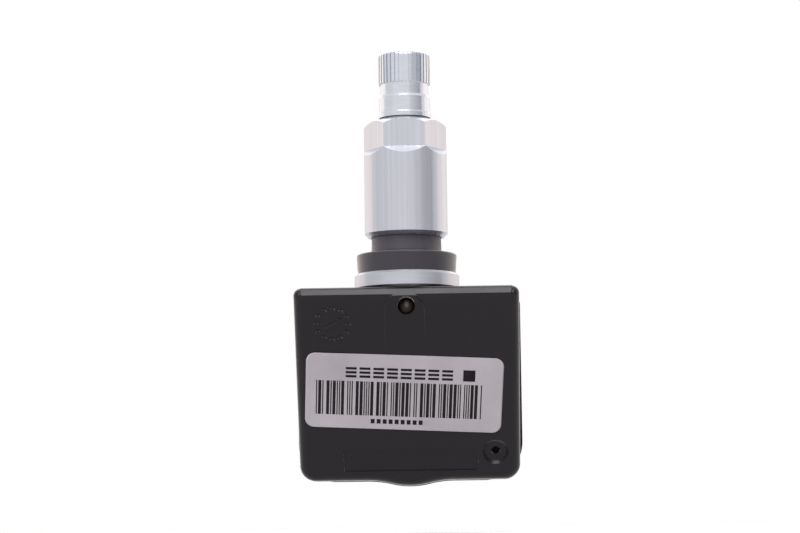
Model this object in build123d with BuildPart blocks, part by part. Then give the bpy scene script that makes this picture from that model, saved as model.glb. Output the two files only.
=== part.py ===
from build123d import *
import math
import os

# Tyre pressure sensor, in millimetres and degrees.
# The valve axis is Z and the labelled face looks towards -Y.
# The rim seats on the rubber flange at height 0.
# Threads are plain cylinders at their pitch diameter.

# Clearances
slip = 0.05  # radial, between pieces that turn or slide on each other
seat = 0.03  # between pieces fixed in each other
stop_gap = 0.05  # between end faces that meet when a moving piece is home

# Rubber grommet
flange_d = 16.8
flange_foot_d = 16.4
flange_h = 3.28
flange_round = 0.3
neck_d = 11.4
neck_base_d = 11.8
neck_h = 5.17
neck_round = 0.4

# Valve stem
stem_flange_d = 17.5
stem_flange_h = 2.77
stem_flange_bevel = 0.4
shank_d = 9.6
shank_bevel = 0.6
tip_d = 7.2
tip_h = 9.2
tip_bevel = 0.4
foot_d = 7.0
foot_h = 7.6
foot_bevel = 0.5
outlet_d = 1.6
chamber_d = 3.9
air_bore_d = 2.4
air_bore_past = 0.4  # depth of the bore below the outlet

# Sealing ring and cross pin that hold the stem's foot in the housing
ring_wire = 1.0
ring_depth = 0.9  # from the housing's top to the ring's middle
cross_pin_d = 2.8
cross_pin_drop = 3.18  # from the housing's top to the pin's axis
cross_pin_sunk = 0.7  # depth of the pin's end below the face
cross_pin_dome = 0.9
cross_pin_grip = 1.0  # reach of the pin past the foot

# Collar nut and its thrust ring
nut_wall = 1.0  # round the counterbore
nut_flats = 12.0
nut_flat_count = 6
nut_foot = 2.87  # bare neck between the rubber flange and the nut
nut_h = 19.42
nut_flat_h = 4.69
nut_runout_angle = 50.0  # slope at the lower end of each flat
nut_cone_angle = 38.0  # turned on the corners, outside the flats
nut_mouth_bevel = 0.25
nut_foot_bevel = 0.6
thrust_h = 1.45
counterbore_gap = 0.25  # round the rubber neck

# Dust cap
cap_gap = 0.78  # between the nut and the cap
cap_roof = 0.9
cap_lip_wall = 0.8
cap_lip_h = 0.7
cap_lip_slope = 0.2  # height of the slope from the lip to the barrel
cap_barrel_wall = 0.68
cap_barrel_h = 0.55
cap_shoulder_wall = 0.65
cap_shoulder_h = 1.93
cap_ring_h = 0.42
cap_waist_wall = 0.38
cap_waist_h = 1.9
cap_flare_h = 0.1
cap_head_wall = 0.7
cap_top_round = 0.85
spline_count = 36
spline_w = 0.24
spline_depth = 0.28
spline_drop = 0.45  # from the cap's top to the end of each groove
cap_seal_h = 1.0

# Valve core
core_recess = 0.8
core_head_d = 5.0
core_head_h = 4.2
core_web_h = 1.4
core_bridge = 1.4
core_barrel_d = 3.2
core_barrel_h = 9.0
core_barrel_bore = 2.3
core_seal_h = 1.6
core_pin_d = 0.9
core_pin_proud = 0.4
core_pin_tail = 4.0
core_pin_bevel = 0.18
cup_d = 3.4
cup_h = 1.0
cup_seal_d = 3.1
cup_seal_h = 0.7
spring_wire = 0.36
spring_mean_d = 2.6
spring_pitch = 1.05
spring_h = 8.25

# Front housing
housing_w = 37.1
housing_h = 31.38
housing_wall = 1.5
housing_roof = 2.2
housing_top_corner = 1.3
room_top_corner = 0.5
housing_low_corner = 2.6
face_angle = 26.0
face_front = 9.05  # from the valve axis to the face's upper edge
face_drop = 1.6  # height of the slanting band above the face
band_depth = 0.78
face_round = 1.5
keel_drop = 0.9
keel_blend = 18.0
socket_wall = 1.75

# Details of the sloping face: s runs down the slope from its upper edge
rib_w = 6.7
rib_x = -0.3
rib_start = -0.7  # the band cuts the rib's upper end
rib_gap = 0.4  # from the rib's end to the label
rib_rise = 0.3
rib_draft = 45.0  # slope of the rib's sides
dial_inset = 6.3  # from the housing's left side
dial_s = 5.01
dial_d = 5.4
dial_marks = 12
dial_mark_d = 0.8
dial_rise = 0.25
arrow_length = 3.0
arrow_w = 0.45
arrow_head_w = 1.35
arrow_turn = -62.0
panel_w = 22.5
panel_h = 4.0
panel_gap = 0.75  # between the panel and the port
panel_rise = 3.61  # above the face's lower edge
panel_depth = 0.22
panel_round = 0.4
port_inset = 4.15  # from the housing's right side
port_rise = 4.91  # above the face's lower edge
port_d = 1.5
port_rim_d = 4.4
port_lip = 0.42  # width of the steep edge round the port's dish
port_lip_depth = 0.5
port_sink_angle = 160.0

# Label
label_margin = 2.2  # at each side of the face
label_top = 10.52  # from the face's upper edge
label_foot = 9.26  # from the face's lower edge
label_t = 0.12
label_x = -0.7
label_turn = -3.0
label_corner = 1.5

# Back cover
cover_t = 1.6
cover_lip = 0.6
cover_foot_lip = 0.1
cover_low_corner = 6.5
cover_top_corner = 1.2
cover_top_drop = 0.2
cover_edge_round = 0.4
cover_rim_t = 1.0
cover_rim_h = 0.8
cover_rim_corner = 0.3  # inside the rim

# Coin cell and its tabs
cell_d = 23.0
cell_t = 3.0
cell_gap = 0.2
cell_wall_gap = 0.29  # from the cell's lower edge to the sloping wall, front to back
cell_edge = 0.4
cell_step_d = 19.5
cell_step = 0.25
tab_t = 0.2
tab_w = 4.0
tab_lap = 4.0
tab_foot = 2.4
minus_tab_inset = 3.5  # from the cell's edge
minus_tab_w = 3.0

# Circuit board
board_t = 1.0
board_edge_gap = 0.4
board_top_drop = 0.5
board_foot_rise = 0.6
board_corner = 2.0
board_hold = 0.1  # play between the board and the cover's rim
cell_post_d = 3.0
cell_post_x = 4.0
cell_post_rise = 5.0  # upper posts above the cell's middle
cell_post_fall = 6.0  # lower post below it
post_d = 2.8
stake_d = 1.2
stake_proud = 0.3
post_inset = 1.7  # from the side wall
post_top_drop = 5.1
left_post_rise = 5.8  # above the housing's bottom
right_post_rise = 11.7

# Parts on the board
sensor_w = 4.4
sensor_t = 2.0
sensor_vent_d = 1.0
sensor_vent_depth = 0.8
gasket_d = 4.2
gasket_bore = 1.8
gasket_h = 1.7
port_boss_d = 5.6
chip_gap = 0.5
chip_top_gap = 0.3  # below the board's upper edge
radio_w = 5.0
radio_l = 4.0
radio_t = 1.3
radio_inset = 3.45  # from the side wall
crystal_w = 3.2
crystal_l = 2.5
crystal_t = 0.8
crystal_corner = 0.5
capacitor_w = 2.0
capacitor_l = 1.25
capacitor_t = 0.9
capacitor_inset = 1.9
capacitor_drop = 2.6  # below the upper post
capacitor_pitch = 1.8
capacitor_count = 3
switch_d = 4.2
switch_h = 4.6
switch_round = 0.5
switch_inset = 2.5
switch_drop = 8.6  # below the board's upper edge
antenna_wire_d = 0.8
antenna_inset = 1.65
antenna_rise = 4.0
antenna_post_gap = 3.0  # above the lower left post
antenna_span = 6.0
antenna_bend = 1.2

# Heights and places worked out from the sizes above
stem_flange_z = -flange_h
housing_top = stem_flange_z - stem_flange_h
housing_bottom = housing_top - housing_h
half_w = housing_w / 2
face_top = housing_top - face_drop
slope = math.tan(math.radians(face_angle))
wall_y = housing_wall / math.cos(math.radians(face_angle))
keel_r = cell_d / 2 + cell_gap + housing_wall
cell_z = housing_bottom - keel_drop + keel_r
face_plane = Plane(
    origin=(0, -face_front, face_top),
    x_dir=(1, 0, 0),
    z_dir=(0, -math.cos(math.radians(face_angle)), -math.sin(math.radians(face_angle))),
)

nut_top = nut_foot + nut_h
nut_flat_end = nut_top - nut_flat_h
cap_base = nut_top + cap_gap
tip_shoulder = cap_base - stop_gap
tip_top = tip_shoulder + tip_h
shank_top = tip_shoulder - shank_bevel
outlet_z = stem_flange_z - stem_flange_h / 2
air_bore_end = outlet_z - outlet_d / 2 - air_bore_past
ring_z = housing_top - ring_depth
cross_pin_z = housing_top - cross_pin_drop
foot_z = housing_top - foot_h
socket_r = foot_d / 2 + seat
ring_groove_r = socket_r - ring_wire

core_top = tip_top - core_recess
core_head_z = core_top - core_head_h
core_seal_z = core_head_z - core_seal_h
core_barrel_z = core_head_z - core_barrel_h
core_bore_r = core_head_d / 2 + slip
cup_seal_z = core_barrel_z - stop_gap - cup_seal_h
cup_z = cup_seal_z - cup_h
spring_seat_z = cup_z - spring_h
pin_hole_r = core_pin_d / 2 + slip

thrust_z = neck_h + stop_gap
counterbore_top = thrust_z + thrust_h + stop_gap
counterbore_r = neck_d / 2 + counterbore_gap
nut_d = 2 * (counterbore_r + nut_wall)
nut_bore_r = shank_d / 2 + slip

cap_bore_r = tip_d / 2 + slip
cap_lip_r = cap_bore_r + cap_lip_wall
cap_barrel_r = cap_bore_r + cap_barrel_wall
cap_shoulder_r = cap_bore_r + cap_shoulder_wall
cap_waist_r = cap_bore_r + cap_waist_wall
cap_head_r = cap_bore_r + cap_head_wall
cap_lip_top = cap_base + cap_lip_h
cap_barrel_z = cap_lip_top + cap_lip_slope
cap_barrel_top = cap_barrel_z + cap_barrel_h
cap_shoulder_top = cap_barrel_top + cap_shoulder_h
cap_waist_z = cap_shoulder_top + cap_ring_h
cap_waist_top = cap_waist_z + cap_waist_h
cap_spline_z = cap_waist_top + cap_flare_h
cap_seal_z = tip_top + stop_gap
cap_inner_top = cap_seal_z + cap_seal_h
cap_top = cap_inner_top + cap_roof

cell_front = (face_top - cell_z + cell_d / 2) * slope - face_front + wall_y + cell_wall_gap
cell_back = cell_front + cell_t
board_face = cell_back + tab_t
board_back = board_face + board_t
housing_rear = board_back + board_hold + cover_rim_h
cover_back = housing_rear + cover_t
inner_w = half_w - housing_wall
inner_top = housing_top - housing_roof
inner_bottom = housing_bottom + housing_wall
room_low_corner = housing_low_corner - housing_wall
board_top = inner_top - board_top_drop
board_bottom = inner_bottom + board_foot_rise
sensor_front = board_face - sensor_t
gasket_front = sensor_front - gasket_h
face_length = (housing_h - face_drop) / math.cos(math.radians(face_angle))
label_w = housing_w - 2 * label_margin
label_h = face_length - label_top - label_foot
label_s = label_top + label_h / 2
rib_end = label_top - rib_gap
rib_length = rib_end - rib_start
dial_x = dial_inset - half_w
port_x = half_w - port_inset
port_s = face_length - port_rise
panel_x = port_x - (port_rim_d + panel_w) / 2 - panel_gap
panel_s = face_length - panel_rise
port_z = face_top - port_s * math.cos(math.radians(face_angle))
port_boss_z = port_z + housing_wall * math.sin(math.radians(face_angle))

post_x = inner_w - post_inset
upper_post_z = housing_top - post_top_drop
left_post_z = housing_bottom + left_post_rise
right_post_z = housing_bottom + right_post_rise
chip_top = board_top - chip_top_gap
radio_x = radio_inset + radio_w / 2 - inner_w
crystal_x = radio_x + (radio_w + crystal_w) / 2 + chip_gap
capacitor_x = capacitor_inset - inner_w
capacitor_z = upper_post_z - capacitor_drop
switch_x = inner_w - switch_inset
switch_z = board_top - switch_drop
antenna_x = antenna_inset - inner_w
antenna_low_z = left_post_z + antenna_post_gap
minus_tab_x = cell_d / 2 - minus_tab_inset


def face_y(z):
    """Y of the sloping face's outside at a height."""
    return -face_front + (face_top - z) * slope


def mid_wall_y(z):
    """Y of the middle of the sloping wall at a height."""
    return face_y(z) + wall_y / 2


def front_view(y):
    """Plane that looks along Y from the front, at a given depth."""
    return Plane.XZ.offset(-y)


def on_face(x, s, turn=0):
    """Plane on the sloping face, s down the slope and turned about its own normal."""
    spot = face_plane.from_local_coords(Vector(x, -s, 0))
    across = face_plane.x_dir.rotate(Axis((0, 0, 0), face_plane.z_dir), turn)
    return Plane(origin=spot, x_dir=across, z_dir=face_plane.z_dir)


def half_section(*corners):
    """Half section of a turned piece from its corners as radius and height."""
    with BuildSketch(Plane.XZ) as section:
        with BuildLine():
            Polyline(*corners, close=True)
        make_face()
    return section.sketch


def body_outline(side_margin, low_margin, top, top_corner, low_corner):
    """Front view of the housing grown by margins: a rounded box with the coin cell's round keel below."""
    side = half_w + side_margin
    low = housing_bottom - low_margin
    keel = keel_r + low_margin
    with BuildSketch() as outline:
        with Locations((0, (top + low) / 2)):
            Rectangle(2 * side, top - low)
        with Locations((0, cell_z)):
            Circle(keel)
        keel_joins = outline.vertices().filter_by(lambda v: abs(v.X) < keel)
        fillet(keel_joins, keel_blend - low_margin)
        fillet(outline.vertices().group_by(Axis.Y)[-1], top_corner)
        low_corners = outline.vertices().filter_by(lambda v: abs(abs(v.X) - side) < seat)
        fillet(low_corners.group_by(Axis.Y)[0], low_corner)
    return outline.sketch


def profile(*corners):
    """Side view face from its corners as Y and height."""
    with BuildSketch(Plane.YZ) as side:
        with BuildLine():
            Polyline(*corners, close=True)
        make_face()
    return side.sketch


os.makedirs("parts", exist_ok=True)

# Rubber grommet: sealing flange and neck in one moulding
with BuildPart() as rubber_grommet:
    bore_r = shank_d / 2 + seat
    neck_edge = min(neck_round, (neck_d / 2 - bore_r) / 2)
    revolve(
        half_section(
            (bore_r, stem_flange_z),
            (flange_foot_d / 2, stem_flange_z),
            (flange_d / 2, 0),
            (neck_base_d / 2, 0),
            (neck_d / 2, neck_h),
            (bore_r, neck_h),
        ),
        axis=Axis.Z,
    )
    rims = rubber_grommet.edges().filter_by(GeomType.CIRCLE)
    fillet(rims.filter_by(lambda e: abs(e.radius - flange_d / 2) < seat).sort_by(Axis.Z)[-1], flange_round)
    rims = rubber_grommet.edges().filter_by(GeomType.CIRCLE)
    fillet(rims.filter_by(lambda e: abs(e.radius - neck_d / 2) < seat), neck_edge)
rubber_grommet.part.label = "rubber_grommet"
export_step(rubber_grommet.part, "parts/rubber_grommet.step")

# Valve stem: foot, flange, shank and tip turned from one bar, bored for the valve core
with BuildPart() as valve_stem:
    revolve(
        half_section(
            (0, foot_z),
            (foot_d / 2 - foot_bevel, foot_z),
            (foot_d / 2, foot_z + foot_bevel),
            (foot_d / 2, ring_z - ring_wire / 2 - seat),
            (ring_groove_r, ring_z - ring_wire / 2 - seat),
            (ring_groove_r, ring_z + ring_wire / 2 + seat),
            (foot_d / 2, ring_z + ring_wire / 2 + seat),
            (foot_d / 2, housing_top),
            (stem_flange_d / 2 - stem_flange_bevel, housing_top),
            (stem_flange_d / 2, housing_top + stem_flange_bevel),
            (stem_flange_d / 2, stem_flange_z - stem_flange_bevel),
            (stem_flange_d / 2 - stem_flange_bevel, stem_flange_z),
            (shank_d / 2, stem_flange_z),
            (shank_d / 2, shank_top),
            (shank_d / 2 - shank_bevel, tip_shoulder),
            (tip_d / 2, tip_shoulder),
            (tip_d / 2, tip_top - tip_bevel),
            (tip_d / 2 - tip_bevel, tip_top),
            (core_bore_r, tip_top),
            (core_bore_r, core_head_z),
            (chamber_d / 2, core_seal_z),
            (chamber_d / 2, spring_seat_z),
            (air_bore_d / 2, spring_seat_z),
            (air_bore_d / 2, air_bore_end),
            (0, air_bore_end),
        ),
        axis=Axis.Z,
    )
    with BuildSketch(front_view(stem_flange_d / 2)):
        with Locations((0, outlet_z)):
            Circle(outlet_d / 2)
    extrude(amount=stem_flange_d / 2, mode=Mode.SUBTRACT)
    with BuildSketch(front_view(foot_d / 2)):
        with Locations((0, cross_pin_z)):
            Circle(cross_pin_d / 2 + seat)
    extrude(amount=foot_d, mode=Mode.SUBTRACT)
valve_stem.part.label = "valve_stem"
export_step(valve_stem.part, "parts/valve_stem.step")

# Sealing ring in the groove of the stem's foot
with BuildPart() as stem_seal_ring:
    with BuildSketch(Plane.XZ):
        with Locations((socket_r - ring_wire / 2, ring_z)):
            Circle(ring_wire / 2 - seat)
    revolve(axis=Axis.Z)
stem_seal_ring.part.label = "stem_seal_ring"
export_step(stem_seal_ring.part, "parts/stem_seal_ring.step")

# Cross pin that locks the stem's foot in the housing, with a domed end in the rib's hole
pin_start = face_y(cross_pin_z) + cross_pin_sunk
pin_end = foot_d / 2 + cross_pin_grip
with BuildPart() as cross_pin:
    with BuildSketch(front_view(pin_end)):
        with Locations((0, cross_pin_z)):
            Circle(cross_pin_d / 2)
    extrude(amount=pin_end - pin_start)
    fillet(cross_pin.edges().group_by(Axis.Y)[0], cross_pin_dome)
cross_pin.part.label = "cross_pin"
export_step(cross_pin.part, "parts/cross_pin.step")

# Collar nut: round sleeve with six flats milled into its upper end
with BuildPart() as collar_nut:
    cone_rise = (nut_d - nut_flats) / 2 * math.tan(math.radians(nut_cone_angle))
    revolve(
        half_section(
            (counterbore_r, nut_foot),
            (nut_d / 2 - nut_foot_bevel, nut_foot),
            (nut_d / 2, nut_foot + nut_foot_bevel),
            (nut_d / 2, nut_top - cone_rise),
            (nut_flats / 2, nut_top),
            (nut_bore_r + nut_mouth_bevel, nut_top),
            (nut_bore_r, nut_top - nut_mouth_bevel),
            (nut_bore_r, counterbore_top),
            (counterbore_r, counterbore_top),
        ),
        axis=Axis.Z,
    )
    runout = nut_d / 2
    runout_drop = runout * math.tan(math.radians(nut_runout_angle))
    milled = profile(
        (-nut_flats / 2, nut_top + runout),
        (-nut_flats / 2, nut_flat_end),
        (-nut_flats / 2 - runout, nut_flat_end - runout_drop),
        (-nut_flats / 2 - runout, nut_top + runout),
    )
    cutter = extrude(milled, amount=nut_d, both=True, mode=Mode.PRIVATE)
    with PolarLocations(0, nut_flat_count):
        add(cutter, mode=Mode.SUBTRACT)
collar_nut.part.label = "collar_nut"
export_step(collar_nut.part, "parts/collar_nut.step")

# Thrust ring that rides down with the nut and does not turn on the rubber
with BuildPart() as thrust_ring:
    revolve(
        half_section(
            (shank_d / 2 + slip, thrust_z),
            (counterbore_r - slip, thrust_z),
            (counterbore_r - slip, thrust_z + thrust_h),
            (shank_d / 2 + slip, thrust_z + thrust_h),
        ),
        axis=Axis.Z,
    )
thrust_ring.part.label = "thrust_ring"
export_step(thrust_ring.part, "parts/thrust_ring.step")

# Cutter for one groove of the cap's head
with BuildPart() as groove:
    with Locations((cap_head_r, 0, cap_waist_top)):
        Box(
            2 * spline_depth,
            spline_w,
            cap_top - spline_drop - cap_waist_top,
            align=(Align.CENTER, Align.CENTER, Align.MIN),
        )

# Dust cap: lipped barrel, waist and splined head
with BuildPart() as valve_cap:
    revolve(
        half_section(
            (cap_bore_r, cap_base),
            (cap_lip_r, cap_base),
            (cap_lip_r, cap_lip_top),
            (cap_barrel_r, cap_barrel_z),
            (cap_barrel_r, cap_barrel_top),
            (cap_shoulder_r, cap_shoulder_top),
            (cap_waist_r, cap_waist_z),
            (cap_waist_r, cap_waist_top),
            (cap_head_r, cap_spline_z),
            (cap_head_r, cap_top),
            (0, cap_top),
            (0, cap_inner_top),
            (cap_bore_r, cap_inner_top),
        ),
        axis=Axis.Z,
    )
    fillet(valve_cap.edges().group_by(Axis.Z)[-1], cap_top_round)
    with PolarLocations(0, spline_count):
        add(groove.part, mode=Mode.SUBTRACT)
valve_cap.part.label = "valve_cap"
export_step(valve_cap.part, "parts/valve_cap.step")

# Rubber disc in the cap's roof
with BuildPart() as cap_seal:
    with Locations((0, 0, cap_seal_z)):
        Cylinder(cap_bore_r - slip, cap_seal_h - stop_gap, align=(Align.CENTER, Align.CENTER, Align.MIN))
cap_seal.part.label = "cap_seal"
export_step(cap_seal.part, "parts/cap_seal.step")

# Valve core body: slotted head with a bridge round the pin, and the barrel below it
with BuildPart() as core_body:
    web_z = core_top - core_web_h
    revolve(
        half_section(
            (core_barrel_bore / 2, core_barrel_z),
            (core_barrel_d / 2, core_barrel_z),
            (core_barrel_d / 2, core_head_z),
            (core_head_d / 2, core_head_z),
            (core_head_d / 2, core_top),
            (pin_hole_r, core_top),
            (pin_hole_r, web_z),
            (core_barrel_bore / 2, web_z),
        ),
        axis=Axis.Z,
    )
    slot_w = (core_barrel_d - core_bridge) / 2
    with BuildSketch(Plane.XY.offset(core_top)):
        with Locations(((core_bridge + slot_w) / 2, 0), (-(core_bridge + slot_w) / 2, 0)):
            Rectangle(slot_w, core_barrel_bore)
    extrude(amount=-core_web_h - core_barrel_bore / 2, mode=Mode.SUBTRACT)
core_body.part.label = "core_body"
export_step(core_body.part, "parts/core_body.step")

# Tapered seal between the core's barrel and the stem
with BuildPart() as core_seal:
    inner_r = core_barrel_d / 2 + seat
    revolve(
        half_section(
            (inner_r, core_seal_z),
            (chamber_d / 2 - seat, core_seal_z),
            (core_bore_r - 2 * seat, core_head_z - seat),
            (inner_r, core_head_z - seat),
        ),
        axis=Axis.Z,
    )
core_seal.part.label = "core_seal"
export_step(core_seal.part, "parts/core_seal.step")

# Core pin with its pressed tip
with BuildPart() as core_pin:
    pin_top = core_top + core_pin_proud
    pin_low = cup_z - core_pin_tail
    with Locations((0, 0, pin_low)):
        Cylinder(core_pin_d / 2, pin_top - pin_low, align=(Align.CENTER, Align.CENTER, Align.MIN))
    chamfer(core_pin.edges().group_by(Axis.Z)[-1], core_pin_bevel)
core_pin.part.label = "core_pin"
export_step(core_pin.part, "parts/core_pin.step")

# Cup on the pin that the spring presses up against the barrel
with BuildPart() as core_cup:
    revolve(
        half_section(
            (core_pin_d / 2 + seat, cup_z),
            (cup_d / 2, cup_z),
            (cup_d / 2, cup_z + cup_h),
            (core_pin_d / 2 + seat, cup_z + cup_h),
        ),
        axis=Axis.Z,
    )
core_cup.part.label = "core_cup"
export_step(core_cup.part, "parts/core_cup.step")

# Rubber face of the cup
with BuildPart() as core_cup_seal:
    revolve(
        half_section(
            (core_pin_d / 2 + seat, cup_seal_z),
            (cup_seal_d / 2, cup_seal_z),
            (cup_seal_d / 2, cup_seal_z + cup_seal_h),
            (core_pin_d / 2 + seat, cup_seal_z + cup_seal_h),
        ),
        axis=Axis.Z,
    )
core_cup_seal.part.label = "core_cup_seal"
export_step(core_cup_seal.part, "parts/core_cup_seal.step")

# Return spring between the stem's inner shoulder and the cup
spring_low = spring_seat_z + spring_wire / 2 + seat
spring_high = cup_z - spring_wire / 2 - seat
with BuildPart() as core_spring:
    with BuildLine() as coil:
        Helix(spring_pitch, spring_high - spring_low, spring_mean_d / 2, center=(0, 0, spring_low))
    with BuildSketch(Plane(origin=coil.line @ 0, z_dir=coil.line % 0)):
        Circle(spring_wire / 2)
    sweep(is_frenet=True)
core_spring.part.label = "core_spring"
export_step(core_spring.part, "parts/core_spring.step")

# Room inside the housing, open at the back, with the port's boss left standing
with BuildPart() as room:
    with BuildSketch(front_view(housing_rear)):
        add(body_outline(-housing_wall, -housing_wall, inner_top, room_top_corner, room_low_corner))
    extrude(amount=housing_rear + face_front)
    extrude(
        profile(
            (face_y(inner_top) + wall_y, inner_top),
            (housing_rear, inner_top),
            (housing_rear, housing_bottom - keel_drop),
            (face_y(housing_bottom - keel_drop) + wall_y, housing_bottom - keel_drop),
        ),
        amount=half_w,
        both=True,
        mode=Mode.INTERSECT,
    )
    with BuildSketch(front_view(gasket_front)):
        with Locations((port_x, port_boss_z)):
            Circle(port_boss_d / 2)
    extrude(amount=gasket_front + face_front, mode=Mode.SUBTRACT)

# Raised rib down the face, which sinks to the face at its lower end
face_side = Plane(origin=face_plane.origin, x_dir=-face_plane.y_dir, z_dir=(-1, 0, 0))
with BuildPart() as rib:
    with BuildSketch(on_face(rib_x, rib_start)) as rib_outline:
        with BuildLine():
            left = Line((-rib_w / 2, -rib_length), (-rib_w / 2, -rib_w / 2))
            top = ThreePointArc(left @ 1, (0, 0), (rib_w / 2, -rib_w / 2))
            right = Line(top @ 1, (rib_w / 2, -rib_length))
            Line(right @ 1, left @ 0)
        make_face()
    extrude(amount=rib_rise, taper=rib_draft)
    extrude(rib_outline.sketch, amount=-housing_wall / 2)
    with BuildSketch(face_side):
        with BuildLine():
            Polyline(
                (0, rib_rise),
                (rib_end, 0),
                (2 * rib_end, 0),
                (2 * rib_end, 2 * rib_rise),
                (0, 2 * rib_rise),
                close=True,
            )
        make_face()
    extrude(amount=rib_w, both=True, mode=Mode.SUBTRACT)

# Front housing: wedge shell with a sloping face, stem socket, board posts and pressure port
with BuildPart() as front_housing:
    with BuildSketch(front_view(housing_rear)):
        add(body_outline(0, 0, housing_top, housing_top_corner, housing_low_corner))
    extrude(amount=housing_rear + face_front + face_drop)
    face_low = housing_bottom - keel_drop - face_drop
    extrude(
        profile(
            (face_y(housing_top), housing_top),
            (housing_rear, housing_top),
            (housing_rear, face_low),
            (face_y(face_low), face_low),
        ),
        amount=half_w,
        both=True,
        mode=Mode.INTERSECT,
    )
    sloping_face = front_housing.faces().filter_by(face_plane).sort_by(SortBy.AREA)[-1]
    fillet(sloping_face.edges().sort_by(Axis.Z)[:-1], face_round)
    add(rib.part)
    band_front = -face_front - face_drop
    extrude(
        profile(
            (band_depth - face_front, housing_top),
            (-face_front, face_top),
            (band_front, face_top),
            (band_front, housing_top),
        ),
        amount=half_w,
        both=True,
        mode=Mode.SUBTRACT,
    )
    add(room.part, mode=Mode.SUBTRACT)
    # Socket for the stem's foot, with a bridge to the face for the cross pin
    with BuildSketch(Plane.XY.offset(inner_top)):
        Circle(socket_r + socket_wall)
    extrude(amount=-(inner_top - foot_z + socket_wall))
    bridge_w = cross_pin_d + 2 * socket_wall
    bridge_low = cross_pin_z - bridge_w / 2
    extrude(
        profile(
            (0, inner_top),
            (mid_wall_y(inner_top), inner_top),
            (mid_wall_y(bridge_low), bridge_low),
            (0, bridge_low),
        ),
        amount=bridge_w / 2,
        both=True,
    )
    with BuildSketch(Plane.XY.offset(housing_top)):
        Circle(socket_r)
    extrude(amount=-(foot_h + seat), mode=Mode.SUBTRACT)
    with BuildSketch(front_view(pin_end + seat)):
        with Locations((0, cross_pin_z)):
            Circle(cross_pin_d / 2 + seat)
    extrude(amount=pin_end + 2 * face_front, mode=Mode.SUBTRACT)
    # Board posts with staked ends, and shorter posts behind the cell
    board_posts = [
        (-post_x, upper_post_z),
        (post_x, upper_post_z),
        (-post_x, left_post_z),
        (post_x, right_post_z),
    ]
    cell_posts = [
        (-cell_post_x, cell_z + cell_post_rise),
        (cell_post_x, cell_z + cell_post_rise),
        (0, cell_z - cell_post_fall),
    ]
    for x, z in board_posts:
        with BuildSketch(front_view(mid_wall_y(z))):
            with Locations((x, z)):
                Circle(post_d / 2)
        extrude(amount=-(board_face - mid_wall_y(z)))
        with BuildSketch(front_view(board_face)):
            with Locations((x, z)):
                Circle(stake_d / 2)
        extrude(amount=-(board_t + stake_proud))
    for x, z in cell_posts:
        with BuildSketch(front_view(mid_wall_y(z))):
            with Locations((x, z)):
                Circle(cell_post_d / 2)
        extrude(amount=-(cell_front - seat - mid_wall_y(z)))
    # Pressure port: a dished hole in the face that opens into the boss's bore
    with BuildSketch(front_view(face_y(port_boss_z) + wall_y)):
        with Locations((port_x, port_boss_z)):
            Circle(gasket_bore / 2)
    extrude(amount=-(gasket_front - face_y(port_boss_z) - wall_y), mode=Mode.SUBTRACT)
    dish_r = port_rim_d / 2 - port_lip
    with Locations(on_face(port_x, port_s)):
        Cone(
            dish_r,
            port_rim_d / 2,
            port_lip_depth,
            align=(Align.CENTER, Align.CENTER, Align.MAX),
            mode=Mode.SUBTRACT,
        )
    with Locations(on_face(port_x, port_s).offset(-port_lip_depth)):
        CounterSinkHole(
            port_d / 2, dish_r, depth=housing_wall + gasket_bore, counter_sink_angle=port_sink_angle
        )
    # Plain recessed panel, and the dial's marks and arrow
    with BuildSketch(on_face(panel_x, panel_s)):
        RectangleRounded(panel_w, panel_h, panel_round)
    extrude(amount=-panel_depth, mode=Mode.SUBTRACT)
    with BuildSketch(on_face(dial_x, dial_s, arrow_turn)) as dial:
        with PolarLocations(dial_d / 2, dial_marks):
            Circle(dial_mark_d / 2)
        Rectangle(arrow_w, arrow_length)
        with BuildLine():
            Polyline(
                (0, arrow_length / 2 + arrow_w),
                (-arrow_head_w / 2, arrow_length / 2 - arrow_w),
                (arrow_head_w / 2, arrow_length / 2 - arrow_w),
                close=True,
            )
        make_face()
    extrude(amount=dial_rise)
    extrude(dial.sketch, amount=-dial_rise)
front_housing.part.label = "front_housing"
export_step(front_housing.part, "parts/front_housing.step")

# Back cover: plate with a proud lip and a rim that locates in the housing and holds the board
with BuildPart() as back_cover:
    cover_top = housing_top - cover_top_drop
    with BuildSketch(front_view(cover_back)):
        add(body_outline(cover_lip, cover_foot_lip, cover_top, cover_top_corner, cover_low_corner))
    extrude(amount=cover_t)
    fillet(back_cover.faces().sort_by(Axis.Y)[-1].edges(), cover_edge_round)
    rim_inset = -housing_wall - seat
    rim_top = inner_top - seat
    with BuildSketch(front_view(housing_rear)):
        add(body_outline(rim_inset, rim_inset, rim_top, room_top_corner, room_low_corner))
        rim_inner = rim_inset - cover_rim_t
        add(
            body_outline(rim_inner, rim_inner, rim_top - cover_rim_t, cover_rim_corner, cover_rim_corner),
            mode=Mode.SUBTRACT,
        )
    extrude(amount=cover_rim_h)
back_cover.part.label = "back_cover"
export_step(back_cover.part, "parts/back_cover.step")

# Circuit board on the housing's posts
with BuildPart() as circuit_board:
    board_w = 2 * (inner_w - board_edge_gap)
    with BuildSketch(front_view(board_back)):
        with Locations((0, (board_top + board_bottom) / 2)):
            RectangleRounded(board_w, board_top - board_bottom, board_corner)
        with Locations(*board_posts):
            Circle(stake_d / 2 + seat, mode=Mode.SUBTRACT)
    extrude(amount=board_t)
circuit_board.part.label = "circuit_board"
export_step(circuit_board.part, "parts/circuit_board.step")

# Coin cell with its smaller negative face to the front
with BuildPart() as coin_cell:
    with BuildSketch(front_view(cell_back)):
        with Locations((0, cell_z)):
            Circle(cell_d / 2)
    extrude(amount=cell_t - cell_step)
    fillet(coin_cell.edges(), cell_edge)
    with BuildSketch(front_view(cell_front + cell_step)):
        with Locations((0, cell_z)):
            Circle(cell_step_d / 2)
    extrude(amount=cell_step)
coin_cell.part.label = "coin_cell"
export_step(coin_cell.part, "parts/coin_cell.step")

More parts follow.
